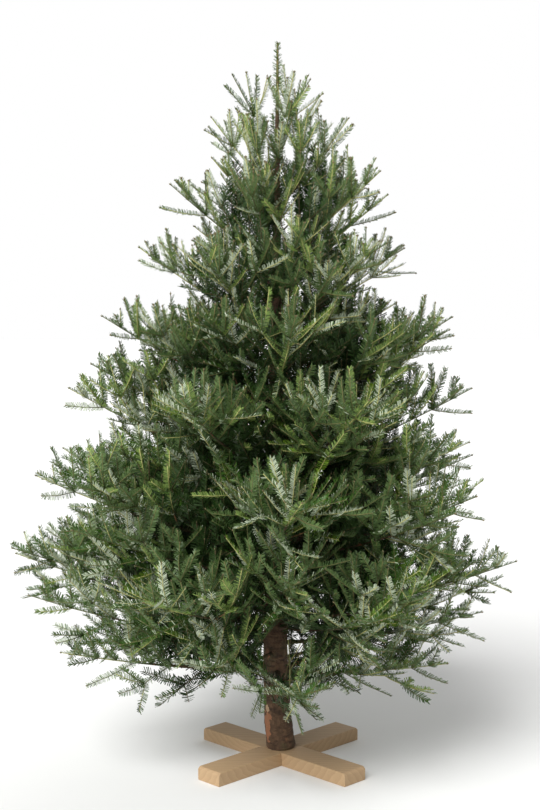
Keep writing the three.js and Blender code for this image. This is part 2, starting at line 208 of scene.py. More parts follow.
def seeded(seed):
    """The part's own stream of numbers from 0 to 1."""
    state = (seed * 7919 + 104729) % 2147483647

    def draw():
        nonlocal state
        state = (state * 48271) % 2147483647
        return state / 2147483647

    for _ in range(4):
        draw()
    return draw


def spread(draw, most):
    return (2 * draw() - 1) * most


def trunk_x(height):
    lean = TRUNK["lean"] * height / TREE_HEIGHT
    return lean - TRUNK["sweep"] * (1 - math.exp(-height / TRUNK["sweep_height"]))


def trunk_point(height):
    return Vector((trunk_x(height), 0, CUT_HEIGHT + height))


def trunk_radius(height):
    taper = lerp(TRUNK["radius"], TRUNK["tip_radius"], height / TRUNK["height"])
    return taper + TRUNK["flare"] * math.exp(-height / TRUNK["flare_height"])


def tier_height(tier, distance):
    s = distance / tier["reach"]
    return tier["attach"] + tier["rise"] * s + tier["dip"] * (s * s - s)


def space_above(index, distance):
    if index + 1 == len(TIERS):
        return math.inf
    return (tier_height(TIERS[index], distance) + tier_height(TIERS[index + 1], distance)) / 2


def space_below(index, distance):
    if index > 0:
        return space_above(index - 1, distance)
    half = (tier_height(TIERS[1], distance) - tier_height(TIERS[0], distance)) / 2
    return max(FLOOR_CLEARANCE, tier_height(TIERS[0], distance) - half)


def plan_tier(index):
    """The azimuth, reach, lift and wander of each bough of a tier, drawn as the part's source does."""
    tier = TIERS[index]
    draw = seeded(index + 1)
    plans = []
    for i in range(tier["count"]):
        azimuth = math.radians(tier["turn"] + 360 * i / tier["count"] + spread(draw, TURN_SPREAD))
        side = 1 - tier["lopsided"] * math.cos(azimuth)
        reach = tier["reach"] * side * (1 + spread(draw, REACH_SPREAD))
        lift = spread(draw, HEIGHT_SPREAD)
        wander = math.radians(spread(draw, WANDER))
        plans.append({"azimuth": azimuth, "reach": reach, "lift": lift, "wander": wander})
    return plans


def in_trunk_gap(point):
    """Whether a point is in the gap through which the foot of the trunk shows."""
    facing = math.radians(TRUNK_GAP["turn"])
    x = point.x - trunk_x(TRUNK_GAP["low"])
    out = x * math.cos(facing) + point.y * math.sin(facing)
    aside = point.y * math.cos(facing) - x * math.sin(facing)
    height = point.z - CUT_HEIGHT - TRUNK_GAP["slope"] * out
    beside = out > 0 and abs(aside) < TRUNK_GAP["half_width"]
    return beside and TRUNK_GAP["low"] < height < TRUNK_GAP["high"]


def section_axes(along):
    """Two directions square to a limb, so that its sections don't twist."""
    guide = Vector((0, 1, 0)) if abs(along.z) > 0.97 else UP
    across = along.cross(guide).normalized()
    return across, across.cross(along)


def turned(vector, axis, angle):
    return Matrix.Rotation(angle, 3, axis) @ vector


def side_axes(forward, turn, lift, roll):
    """The direction of a side axis at its node, and the direction that its flat side faces."""
    over = section_axes(forward)[1]
    along = turned(forward, over, turn)
    hinge = along.cross(over).normalized()
    along = turned(along, hinge, lift)
    normal = (over - along * over.dot(along)).normalized()
    return along, turned(normal, along, roll)


class Bough:
    """The line, thickness and space of one bough, of a whorl or between two of them."""

    def __init__(self, tier, plan, sector, limits, index, thickness=1.0):
        self.tier = tier
        self.reach = plan["reach"]
        self.plan = plan
        self.sector = sector  # half the angle to the bough on either side
        self.limits = limits  # the heights of its space at a distance from the axis
        self.index = index
        self.axis_x = trunk_x(tier["attach"])
        self.run = (self.point(1) - self.point(0)).length
        self.years = max(2, round(self.run / YEAR))
        radius = BOUGH["share"] * trunk_radius(tier["attach"])
        self.radius = thickness * clamp(radius, BOUGH["least"], BOUGH["most"])

    def point(self, t):
        """A point of the bough's line, from the trunk's axis at 0 to the tip at 1."""
        distance = t * self.reach
        turn = self.plan["azimuth"] + self.plan["wander"] * t * t
        height = tier_height(self.tier, distance) + self.plan["lift"]
        x = self.axis_x + distance * math.cos(turn)
        return Vector((x, distance * math.sin(turn), CUT_HEIGHT + height))

    def tangent(self, t):
        step = 0.005
        return (self.point(min(t + step, 1)) - self.point(t - step)).normalized()

    def holds(self, point):
        """Whether a point is in the bough's own space, give or take the slack of fine twigs."""
        x = point.x - self.axis_x
        distance = math.hypot(x, point.y)
        height = point.z - CUT_HEIGHT
        if distance < trunk_radius(height) + CLEAR_OF_TRUNK or in_trunk_gap(point):
            return False
        turn = math.atan2(point.y, x) - self.plan["azimuth"]
        turn = math.atan2(math.sin(turn), math.cos(turn))
        slack = SPACE_SLACK / max(distance, SPACE_SLACK)
        if not -self.sector[0] - slack < turn < self.sector[1] + slack:
            return False
        low, high = self.limits(distance)
        slack = LOWEST_SLACK if self.index == 0 else SPACE_SLACK
        return low - slack < height < high + SPACE_SLACK


def tier_boughs(index):
    """The boughs of a whorl, each in its wedge and between the surfaces half way to its neighbours."""
    plans = plan_tier(index)

    def limits(distance):
        return space_below(index, distance), space_above(index, distance)

    boughs = []
    for i, plan in enumerate(plans):
        ahead = (plans[(i + 1) % len(plans)]["azimuth"] - plan["azimuth"]) % math.tau
        behind = (plan["azimuth"] - plans[(i - 1) % len(plans)]["azimuth"]) % math.tau
        boughs.append(Bough(TIERS[index], plan, (behind / 2, ahead / 2), limits, index))
    return boughs


def boughs_between(index):
    """Smaller boughs that leave the trunk between a whorl and the next."""
    low, high = TIERS[index], TIERS[index + 1]
    draw = random.Random(BETWEEN_SEED + index)

    def limits(distance):
        return tier_height(low, distance), tier_height(high, distance)

    count = BETWEEN[index]
    boughs = []
    for i in range(count):
        step = (i * BETWEEN_HEIGHT["step"] + BETWEEN_HEIGHT["start"]) % 1
        share = step * BETWEEN_HEIGHT["range"] + BETWEEN_HEIGHT["lowest"]
        tier = {name: lerp(low[name], high[name], share) for name in ("attach", "rise", "dip", "reach")}
        turn = BETWEEN_TURN[index] + 360 * i / count
        azimuth = math.radians(turn + draw.uniform(-BETWEEN_SPREAD, BETWEEN_SPREAD))
        side = 1 - lerp(low["lopsided"], high["lopsided"], share) * math.cos(azimuth)
        plan = {
            "azimuth": azimuth,
            "reach": tier["reach"] * side * draw.uniform(*BETWEEN_REACH),
            "lift": 0,
            "wander": math.radians(draw.uniform(-BETWEEN_SPREAD, BETWEEN_SPREAD)),
        }
        sector = (math.pi / count, math.pi / count)
        boughs.append(Bough(tier, plan, sector, limits, index, BETWEEN_THICKNESS))
    return boughs


@functools.lru_cache(maxsize=1)
def all_boughs():
    boughs = []
    for index in range(len(TIERS)):
        boughs += tier_boughs(index)
        if index + 1 < len(TIERS):
            boughs += boughs_between(index)
    return boughs


class Shoot:
    """One year's growth: a bent length of twig, with the side that its needles lie in."""

    def __init__(self, points, flat, age, order, green, tint, radius=0.8):
        self.points = points  # start, middle and end of a smooth bend
        self.flat = flat
        self.age = age
        self.order = order
        self.green = green  # the share of its full number of needles
        self.tint = tint
        self.radius = radius  # where its needles stand


class Growth:
    """Grows the axes of one bough and keeps their shoots."""

    def __init__(self, bough, seed):
        self.bough = bough
        self.random = random.Random(seed)
        self.shoots = []
        self.tints = ()

    def vary(self, most):
        return self.random.uniform(-most, most)

    def greenness(self, points, distance, age):
        """The share of its full number of needles that a shoot carries at a distance from the axis."""
        if age > OLDEST_GREEN or any(in_trunk_gap(point) for point in points):
            return 0
        share = distance / self.bough.tier["reach"]
        return clamp((share - BARE_SHARE) / (FULL_SHARE - BARE_SHARE), 0, 1)

    def add(self, start, heading, flat, size, age, order, tint, rise):
        """Adds a shoot and returns its end and the heading there."""
        hinge = heading.cross(UP)
        if hinge.length > 0.05:
            later = turned(heading, hinge.normalized(), rise)
        else:
            later = heading.copy()
        later = turned(later, flat, math.radians(self.vary(BEND)))
        middle = start + heading * (size / 2)
        end = middle + later * (size / 2)
        self.keep((start, middle, end), flat, age, order, tint)
        return end, later

    def keep(self, points, flat, age, order, tint):
        """Keeps a shoot. One deep in the crown or some years old gets the deep tint of painted shade,
        whatever its spray.
        """
        distance = math.hypot(points[2].x - self.bough.axis_x, points[2].y)
        closed = self.bough.index < SPARSE_FROM
        # The deep tint's darker green is painted shade; on the old shoots it is partly the darker colour
        # of old needles too.
        inner = closed and distance < SHADED_SHARE * self.bough.reach + self.vary(SHADED_SPREAD)
        shaded = inner or age >= SHADED_AGE
        green = self.greenness(points, distance, age)
        self.shoots.append(Shoot(points, flat, age, order, green, "deep" if shaded else tint))

    def axis(self, start, heading, flat, length, years, order, tint):
        """A side axis: its yearly shoots end to end, with a pair of finer axes at each node."""
        point = start
        for year in range(years):
            left = years - 1 - year
            size = length / years * (1 + self.vary(VARIED["shoot"]))
            rise = math.radians(RISE + self.vary(RISE_SPREAD))
            point, heading = self.add(point, heading, flat, size, left, order, tint, rise)
            beyond = length * left / years
            if left and order < 2:
                self.single(point, heading, order, tint, self.random.uniform(*STANDING_LIFT))
                if self.bough.index < NARROW_FROM:
                    self.single(point, heading, order, tint, self.random.uniform(*HANGING_LIFT))
            if left and order < 3:
                for side in (1, -1):
                    full = (beyond * TWIG_SHARE + TWIG_EXTRA) * (1 + self.vary(VARIED["twig"]))
                    finer = min(full, TWIG_LONGEST)
                    turn = math.radians(side * (TWIG_TURN + self.vary(TWIG_TURN_SPREAD)))
                    tilt = turned(flat, heading, math.radians(self.vary(TWIG_TILT)))
                    along = turned(heading, tilt, turn)
                    root = point - heading * (self.random.random() * NODE_SPREAD)
                    parts = max(1, round(finer / TWIG_YEAR))
                    if self.bough.holds(root + along * finer):
                        self.axis(root, along, tilt, finer, parts, order + 1, self.finer_tint(tint))

    def finer_tint(self, tint):
        """The tint of a finer spray: its own in some, and that of the axis it stands on in the others."""
        return self.random.choice(self.tints) if self.random.random() < OWN_TINT else tint

    def single(self, point, heading, order, tint, lift):
        """A single shoot that stands up or hangs from a node of a side axis."""
        turn = math.radians(self.vary(SINGLE_TURN))
        roll = math.radians(self.vary(SINGLE_ROLL))
        along, normal = side_axes(heading, turn, math.radians(lift), roll)
        size = SINGLE_SHOOT * (1 + self.vary(VARIED["single"]))
        if self.bough.index >= NARROW_FROM:
            size *= HIGH_SINGLES
        if self.bough.holds(point + along * size):
            self.add(point, along, normal, size, 0, order + 1, self.finer_tint(tint), math.radians(RISE))

    def side(self, root, forward, rank, length, tint):
        """A side axis of one rank, turned and then shortened where it would leave its space."""
        narrow = self.bough.index >= NARROW_FROM
        length *= NARROW_LENGTH if narrow else 1
        closer = NARROW_TURN if narrow else 1
        steep = STEEPER if self.bough.index >= SPARSE_FROM else 0
        for scale in SCALE_TRIES:
            turn = math.radians(rank["turn"] + self.vary(rank["turn_spread"])) * closer
            lift = math.radians(rank["lift"] + steep + self.vary(rank["lift_spread"]))
            roll = math.radians(rank["roll"] + self.vary(ROLL_SPREAD))
            along, flat = side_axes(forward, turn, lift, roll)
            size = length * scale
            if self.bough.holds(root + along * size):
                self.axis(root, along, flat, size, max(1, round(size / SIDE_YEAR)), 1, tint)
                return

    def grow(self, tints):
        """The bough's own yearly shoots, with its ranks of side axes at each node."""
        bough = self.bough
        self.tints = tints
        run, years = bough.run, bough.years
        main_tint = self.random.choice(tints)
        start = bough.point(1 / years)
        for year in range(1, years):
            end = bough.point((year + 1) / years)
            middle = bough.point((year + 0.5) / years)
            flat = section_axes((end - start).normalized())[1]
            self.keep((start, middle, end), flat, years - 1 - year, 0, main_tint)
            start = end
        for node in range(1, years):
            t = 1 - node / years
            if t * bough.reach < trunk_radius(bough.tier["attach"]) + 2 * CLEAR_OF_TRUNK:
                continue
            root = bough.point(t)
            forward = bough.tangent(t)
            beyond = (1 - t) * run
            full = clamp(SPRAY["base"] + SPRAY["growth"] * beyond, SPRAY["shortest"], SPRAY["longest"])
            if bough.index >= STANDING_FROM:
                for turn in BOUGH_TURNS if bough.index < SPARSE_FROM else (0,):
                    lift = self.random.uniform(*BOUGH_LIFT)
                    heading = turned(forward, UP, math.radians(turn))
                    self.single(root, heading, 0, main_tint, lift)
            for rank in RANKS:
                if rank["odd_only"] and node % 2 == 0 and bough.index >= HANGING_TIERS:
                    continue
                length = min(full, SIDE_SHARE * beyond + SIDE_EXTRA) * rank["share"]
                length *= 1 + self.vary(VARIED["side"])
                self.side(root, forward, rank, length, self.random.choice(tints))
            between = bough.point(t + 0.5 / years)
            for rank in RANKS[:3] if bough.index < SPARSE_FROM else ():
                length = min(full, SIDE_SHARE * beyond) * HALFWAY_SHARE
                length *= 1 + self.vary(VARIED["halfway"])
                self.side(between, forward, rank, length, self.random.choice(tints))


def band_of(index):
    for name, low, high in BANDS:
        if low <= index < high:
            return name
    raise ValueError(f"no band holds tier {index + 1}")


@functools.lru_cache(maxsize=1)
def tree_shoots():
    """Every shoot of the tree, by band."""
    shoots = {name: [] for name, _, _ in BANDS}
    for number, bough in enumerate(all_boughs()):
        band = band_of(bough.index)
        tints = [tint for tint, times in zip(TINTS, TINT_SHARES[band]) for _ in range(times)]
        growth = Growth(bough, BOUGH_SEED + number)
        growth.grow(tints)
        shoots[band] += growth.shoots
    return shoots


def leader_shoots():
    """The needled top of the trunk, and the leader above it."""
    foot, base = (trunk_point(height) for height in (LEADER["from"], TRUNK["height"]))
    tip = Vector((trunk_x(TREE_HEIGHT), 0, CUT_HEIGHT + TREE_HEIGHT - LEADER["bud"]))
    flat = Vector((0, 1, 0))
    radius = trunk_radius(LEADER["from"]) - LEADER["sunk"]
    below = Shoot((foot, (foot + base) / 2, base), flat, 1, 0, 1, "green", radius)
    return below, Shoot((base, (base + tip) / 2, tip), flat, 0, 0, 1, "green")


# ---- Settings -------------------------------------------------------------------------------------


def colour(name, text, value):
    return bpy.props.FloatVectorProperty(
        name=name, description=text, default=value, subtype="COLOR", size=3, min=0, max=1
    )


def length(name, text, value):
    return bpy.props.FloatProperty(name=name, description=text, default=value, min=0, unit="LENGTH")


def ratio(name, text, value):
    return bpy.props.FloatProperty(name=name, description=text, default=value, min=0)


def share(name, text, value):
    return bpy.props.FloatProperty(
        name=name, description=text, default=value, min=0, max=1, subtype="FACTOR"
    )


class FirFoliage(bpy.types.PropertyGroup):
    """Sizes and colours of the needles, twigs and buds."""

    needle_length: length("Needle length", "Length of a needle half way along its shoot", 0.0148)
    needle_width: length("Needle width", "Width of a needle at its middle", 0.0026)
    needle_pitch: length("Needle pitch", "Length of shoot for each needle", 0.00158)
    twig_radius: length("Twig radius", "Radius of a shoot in its first year", 0.0014)
    inner_scale: ratio("Inner needles", "Size of the needles deep in the crown beside the others", 1.5)
    glints: share("Glints", "Share of the shoots that turn the silver side of their needles out", 0.18)
    # The deep tint and its underside are a darker green painted as shade on shoots deep in the crown and
    # on older shoots, partly also the own darker colour of old needles.
    deep: colour("Deep green", "Needles of the shaded sprays", (0.014, 0.046, 0.005))
    deep_under: colour("Deep underside", "The other side of those needles", (0.032, 0.07, 0.016))
    green: colour("Green", "Needles of most sprays", (0.038, 0.1, 0.01))
    green_under: colour("Green underside", "The other side of those needles", (0.1, 0.165, 0.05))
    silver: colour("Silver green", "Needles of the bluish sprays", (0.07, 0.125, 0.036))
    silver_under: colour("Silver underside", "The other side of those needles", (0.46, 0.53, 0.38))
    fresh: colour("Fresh green", "Needles of the youngest sprays", (0.1, 0.18, 0.014))
    fresh_under: colour("Fresh underside", "The other side of those needles", (0.2, 0.3, 0.07))
    pale_twig: colour("Pale twig", "Bark of the young shoots of the lightest sprays", (0.46, 0.46, 0.16))
    young_twig: colour("Young twig", "Bark of the other young shoots", (0.13, 0.15, 0.042))
    # The shaded twig colour is darker bark painted as shade on the young twigs deep in the crown.
    painted_shade_twig: colour("Shaded twig", "Bark of the young shoots deep in the crown", (0.075, 0.07, 0.022))
    old_twig: colour("Old twig", "Bark of older shoots", (0.3, 0.16, 0.07))
    bud: colour("Bud", "Scales of the winter buds", (0.2, 0.165, 0.075))


class FirBark(bpy.types.PropertyGroup):
    """Relief and colours of the trunk and boughs."""

    relief: length("Relief", "Depth of the bark's plates at the foot of the trunk", 0.0022)
    dark: colour("Dark bark", "Bark in its furrows", (0.03, 0.016, 0.009))
    light: colour("Light bark", "Bark on its plates", (0.165, 0.094, 0.051))
    flake: colour("Flaked bark", "Places where the outer bark has rubbed off", (0.34, 0.15, 0.075))
    wood: colour("Bare wood", "Where a chip of bark has come off", (0.52, 0.36, 0.22))
    moss: colour("Algae", "The green bloom of shaded bark", (0.075, 0.075, 0.03))


class FirStand(bpy.types.PropertyGroup):
    """The timber cross."""

    edge: length("Edge", "Width of the broken edges of the planks", 0.0018)
    timber: colour("Timber", "Early wood of the planks", (0.6, 0.41, 0.23))
    grain: colour("Grain", "Late wood of the planks", (0.36, 0.2, 0.09))


class FirStage(bpy.types.PropertyGroup):
    """Camera, lights and floor."""

    distance: length("Distance", "From the camera to the tree's axis, along the floor", 4.2)
    height: length("Height", "The camera's height above the floor", 1.45)
    aside: length("Aside", "How far the camera stands to the left of the tree's axis", 0.034)
    pitch: bpy.props.FloatProperty(
        name="Pitch",
        description="How far the camera looks down",
        default=math.radians(5.03),
        subtype="ANGLE",
    )
    lens: bpy.props.FloatProperty(name="Lens", description="Focal length", default=63.0, unit="CAMERA")
    floor: colour("Floor", "The plain pale floor", (0.86, 0.86, 0.85))


# ---- Materials ------------------------------------------------------------------------------------

FLOAT = "NodeSocketFloat"
VECTOR = "NodeSocketVector"


def start_group(name, inputs, outputs):
    """A shader node group with named inputs, each with its default, and named outputs."""
    group = bpy.data.node_groups.new(name, "ShaderNodeTree")
    for label, kind, value in inputs:
        socket = group.interface.new_socket(name=label, in_out="INPUT", socket_type=kind)
        if value is not None:
            socket.default_value = value
    for label, kind in outputs:
        group.interface.new_socket(name=label, in_out="OUTPUT", socket_type=kind)
    return group, group.nodes.new("NodeGroupInput"), group.nodes.new("NodeGroupOutput")


def put(tree, kind, values=None, **settings):
    """A node with its settings, and its sockets' values by name or number."""
    node = tree.nodes.new(kind)
    for name, value in settings.items():
        setattr(node, name, value)
    for name, value in (values or {}).items():
        node.inputs[name].default_value = value
    return node


def mix_colours(tree, share, first, second):
    """Mixes two colours, each a socket or a plain colour, by a share, a socket or a number."""
    node = put(tree, "ShaderNodeMix", data_type="RGBA")
    for name, value in (("Factor", share), (6, first), (7, second)):
        if isinstance(value, bpy.types.NodeSocket):
            tree.links.new(value, node.inputs[name])
        else:
            node.inputs[name].default_value = value if name == "Factor" else (*value, 1.0)
    return node.outputs[2]


def toned(value, factor):
    """A plain colour made lighter or darker."""
    return tuple(factor * part for part in value)


def group_mask(tree, group, values):
    """The mask that a node group gives in a material, with the values of its inputs."""
    node = put(tree, "ShaderNodeGroup", node_tree=group)
    for name, value in values.items():
        node.inputs[name].default_value = value
    return node.outputs["Mask"]


@functools.lru_cache(maxsize=1)
def mottle_group():
    """Soft patches on Object coordinates, longer along Z where stretch is above 1."""
    group, inside, outside = start_group(
        "fir_mottle",
        [("Scale", FLOAT, 30.0), ("Stretch", FLOAT, 1.0), ("Low", FLOAT, 0.4), ("High", FLOAT, 0.6)],
        [("Mask", FLOAT)],
    )
    place = put(group, "ShaderNodeTexCoord")
    split = put(group, "ShaderNodeSeparateXYZ")
    squeeze = put(group, "ShaderNodeMath", operation="DIVIDE")
    join = put(group, "ShaderNodeCombineXYZ")
    patches = put(group, "ShaderNodeTexNoise", {"Detail": 4.0, "Roughness": 0.6})
    ramp = put(group, "ShaderNodeMapRange", interpolation_type="SMOOTHSTEP")
    link = group.links.new
    link(place.outputs["Object"], split.inputs[0])
    link(split.outputs["X"], join.inputs["X"])
    link(split.outputs["Y"], join.inputs["Y"])
    link(split.outputs["Z"], squeeze.inputs[0])
    link(inside.outputs["Stretch"], squeeze.inputs[1])
    link(squeeze.outputs[0], join.inputs["Z"])
    link(join.outputs[0], patches.inputs["Vector"])
    link(inside.outputs["Scale"], patches.inputs["Scale"])
    link(patches.outputs["Fac"], ramp.inputs["Value"])
    link(inside.outputs["Low"], ramp.inputs["From Min"])
    link(inside.outputs["High"], ramp.inputs["From Max"])
    link(ramp.outputs["Result"], outside.inputs["Mask"])
    return group


def mottle(tree, **values):
    return group_mask(tree, mottle_group(), values)


@functools.lru_cache(maxsize=1)
def spot_group():
    """A ragged spot about a place in Object coordinates, with its half sizes along X, Y and Z."""
    group, inside, outside = start_group(
        "fir_spot",
        [("Centre", VECTOR, (0, 0, 0)), ("Size", VECTOR, (0.01, 0.01, 0.01)), ("Ragged", FLOAT, 2.6)],
        [("Mask", FLOAT)],
    )
    place = put(group, "ShaderNodeTexCoord")
    apart = put(group, "ShaderNodeVectorMath", operation="SUBTRACT")
    share = put(group, "ShaderNodeVectorMath", operation="DIVIDE")
    reach = put(group, "ShaderNodeVectorMath", operation="LENGTH")
    rough = put(group, "ShaderNodeTexNoise", {"Scale": 95.0, "Detail": 3.0})
    edge = put(group, "ShaderNodeMath", operation="MULTIPLY_ADD")
    range_of_edge = {"From Min": 2.35, "From Max": 2.2}
    ramp = put(group, "ShaderNodeMapRange", range_of_edge, interpolation_type="SMOOTHSTEP")
    link = group.links.new
    link(place.outputs["Object"], apart.inputs[0])
    link(inside.outputs["Centre"], apart.inputs[1])
    link(apart.outputs[0], share.inputs[0])
    link(inside.outputs["Size"], share.inputs[1])
    link(share.outputs[0], reach.inputs[0])
    link(place.outputs["Object"], rough.inputs["Vector"])
    link(rough.outputs["Fac"], edge.inputs[0])
    link(inside.outputs["Ragged"], edge.inputs[1])
    link(reach.outputs["Value"], edge.inputs[2])
    link(edge.outputs[0], ramp.inputs["Value"])
    link(ramp.outputs["Result"], outside.inputs["Mask"])
    return group


def spot(tree, **values):
    return group_mask(tree, spot_group(), values)


def new_material(name, roughness):
    """A material, its node tree and its Principled shader."""
    material = bpy.data.materials.new(name)
    material.use_nodes = True
    tree = material.node_tree
    shader = tree.nodes["Principled BSDF"]
    shader.inputs["Roughness"].default_value = roughness
    return material, tree, shader


def set_bump(tree, shader, height, distance, strength=1.0):
    bump = put(tree, "ShaderNodeBump", {"Strength": strength, "Distance": distance})
    tree.links.new(height, bump.inputs["Height"])
    tree.links.new(bump.outputs["Normal"], shader.inputs["Normal"])


def needle_material(tint, upper, underside):
    """Waxy green above and paler beneath, on one thin face."""
    material, tree, shader = new_material(f"needles_{tint}", 0.42)
    shader.inputs["Specular IOR Level"].default_value = 0.32
    sides = put(tree, "ShaderNodeNewGeometry")
    patches = mottle(tree, Scale=9.0, Low=0.35, High=0.65)
    green = mix_colours(tree, patches, toned(upper, 0.8), toned(upper, 1.15))
    both = mix_colours(tree, sides.outputs["Backfacing"], green, underside)
    tree.links.new(both, shader.inputs["Base Color"])
    return material


def twig_material(name, base, dark):
    """Smooth bark with small darker specks and leaf scars."""
    material, tree, shader = new_material(name, 0.7)
    specks = mottle(tree, Scale=260.0, Low=0.45, High=0.7)
    tree.links.new(mix_colours(tree, specks, base, dark), shader.inputs["Base Color"])
    set_bump(tree, shader, specks, 0.0004, 0.6)
    return material


def bark_material(name, bark, moss, flaked, scale, spots=()):
    """Plates and furrows with a green bloom, and places where the outer bark has rubbed off."""
    material, tree, shader = new_material(name, 0.88)
    furrows = mottle(tree, Scale=scale, Stretch=0.45, Low=0.34, High=0.62)
    cracks = mottle(tree, Scale=scale * 3.4, Stretch=2.6, Low=0.3, High=0.7)
    bloom = mottle(tree, Scale=11.0, Stretch=1.6, Low=moss[0], High=moss[1])
    rubbed = mottle(tree, Scale=17.0, Stretch=3.0, Low=flaked, High=flaked + 0.07)
    plates = mix_colours(tree, furrows, bark.dark, bark.light)
    fine = mix_colours(tree, cracks, toned(bark.light, 0.55), plates)
    mossy = mix_colours(tree, bloom, fine, bark.moss)
    worn = mix_colours(tree, rubbed, mossy, bark.flake)
    for centre, size, shade in spots:
        worn = mix_colours(tree, spot(tree, Centre=centre, Size=size), worn, getattr(bark, shade))
    tree.links.new(worn, shader.inputs["Base Color"])
    heights = put(tree, "ShaderNodeMath", {1: 0.4}, operation="MULTIPLY_ADD")
    tree.links.new(cracks, heights.inputs[0])
    tree.links.new(furrows, heights.inputs[2])
    set_bump(tree, shader, heights.outputs[0], 0.0022, 0.9)
    return material


def timber_material(name, stand, turn):
    """Sawn softwood: long grain along one plank, with the year rings on its ends."""
    material, tree, shader = new_material(name, 0.62)
    place = put(tree, "ShaderNodeTexCoord")
    along_plank = {"Rotation": (0, 0, -turn), "Scale": (0.9, 16.0, 16.0), "Location": (0.3, 0.35, -1.1)}
    laid = put(tree, "ShaderNodeMapping", along_plank)
    years = {"Scale": 1.6, "Distortion": 3.2, "Detail": 2.0, "Detail Scale": 1.4}
    rings = put(
        tree, "ShaderNodeTexWave", years, wave_type="RINGS", rings_direction="X", wave_profile="SAW"
    )
    fibres = put(tree, "ShaderNodeTexNoise", {"Scale": 26.0, "Detail": 5.0})
    tree.links.new(place.outputs["Object"], laid.inputs["Vector"])
    tree.links.new(laid.outputs[0], rings.inputs["Vector"])
    tree.links.new(laid.outputs[0], fibres.inputs["Vector"])
    late = mix_colours(tree, rings.outputs["Fac"], stand.timber, stand.grain)
    soft = mix_colours(tree, 0.45, late, stand.timber)
    streaked = mix_colours(tree, fibres.outputs["Fac"], soft, toned(stand.timber, 0.7))
    tree.links.new(streaked, shader.inputs["Base Color"])
    set_bump(tree, shader, fibres.outputs["Fac"], 0.0006, 0.5)
    return material


# ---- Meshes ---------------------------------------------------------------------------------------


def add_object(name, mesh, material, nodes):
    """Puts a finished mesh in the scene, in the place of the nodes that it stands for."""
    mesh.materials.append(material)
    piece = bpy.data.objects.new(name, mesh)
    bpy.context.scene.collection.objects.link(piece)
    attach(piece, "root")
    if nodes:
        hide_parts(*nodes)
    return piece


def mesh_from_arrays(name, points, triangles):
    """A joined mesh of many small parts, from its corners in millimetres and its triangles."""
    mesh = bpy.data.meshes.new(name)
    mesh.vertices.add(len(points))
    mesh.vertices.foreach_set("co", (points * MM).astype(np.float32).ravel())
    mesh.loops.add(triangles.size)
    mesh.loops.foreach_set("vertex_index", triangles.astype(np.int32).ravel())
    mesh.polygons.add(len(triangles))
    mesh.polygons.foreach_set("loop_start", np.arange(0, triangles.size, 3, dtype=np.int32))
    mesh.update(calc_edges=True)
    return mesh


def joined(parts):
    """Joins lists of corners and triangles into one."""
    starts = np.cumsum([0] + [len(corners) for corners, _ in parts])
    corners = np.concatenate([corners for corners, _ in parts])
    triangles = np.concatenate([faces + start for (_, faces), start in zip(parts, starts)])
    return corners, triangles


def unit(vectors):
    return vectors / np.linalg.norm(vectors, axis=1, keepdims=True)


def bend_points(points, share):
    """Points and directions along smooth bends, at a share of each."""
    share = share[:, None]
    start, middle, end = points[:, 0], points[:, 1], points[:, 2]
    place = (1 - share) ** 2 * start + 2 * share * (1 - share) * middle + share ** 2 * end
    return place, unit((1 - share) * (middle - start) + share * (end - middle))


def shoot_arrays(shoots):
    points = np.array([[tuple(p) for p in shoot.points] for shoot in shoots])
    flats = np.array([tuple(shoot.flat) for shoot in shoots])
    return points, flats


def tube_arrays(points, flats, start_radius, end_radius, sides, rings):
    """Closed tubes along smooth bends. Each has its ends drawn in to a point."""
    count = len(points)
    shares = np.linspace(0, 1, rings)
    angles = np.arange(sides) * math.tau / sides
    corners = np.empty((count, rings * sides + 2, 3))
    for r, share in enumerate(shares):
        place, along = bend_points(points, np.full(count, share))
        across = unit(np.cross(along, flats))
        over = np.cross(across, along)
        radius = start_radius + (end_radius - start_radius) * share
        for s, angle in enumerate(angles):
            outward = math.cos(angle) * across + math.sin(angle) * over
            corners[:, r * sides + s] = place + outward * radius[:, None]
    corners[:, -2] = points[:, 0]
    corners[:, -1] = points[:, 2]
    faces = []
    first, last = rings * sides, rings * sides + 1
    for r in range(rings - 1):
        for s in range(sides):
            a, b = r * sides + s, r * sides + (s + 1) % sides
            faces += [(a, a + sides, b), (b, a + sides, b + sides)]
    for s in range(sides):
        a, b = s, (s + 1) % sides
        top = (rings - 1) * sides
        faces += [(first, a, b), (last, top + b, top + a)]
    faces = np.array(faces)
    stride = rings * sides + 2
    triangles = faces[None, :, :] + (np.arange(count) * stride)[:, None, None]
    return corners.reshape(-1, 3), triangles.reshape(-1, 3)


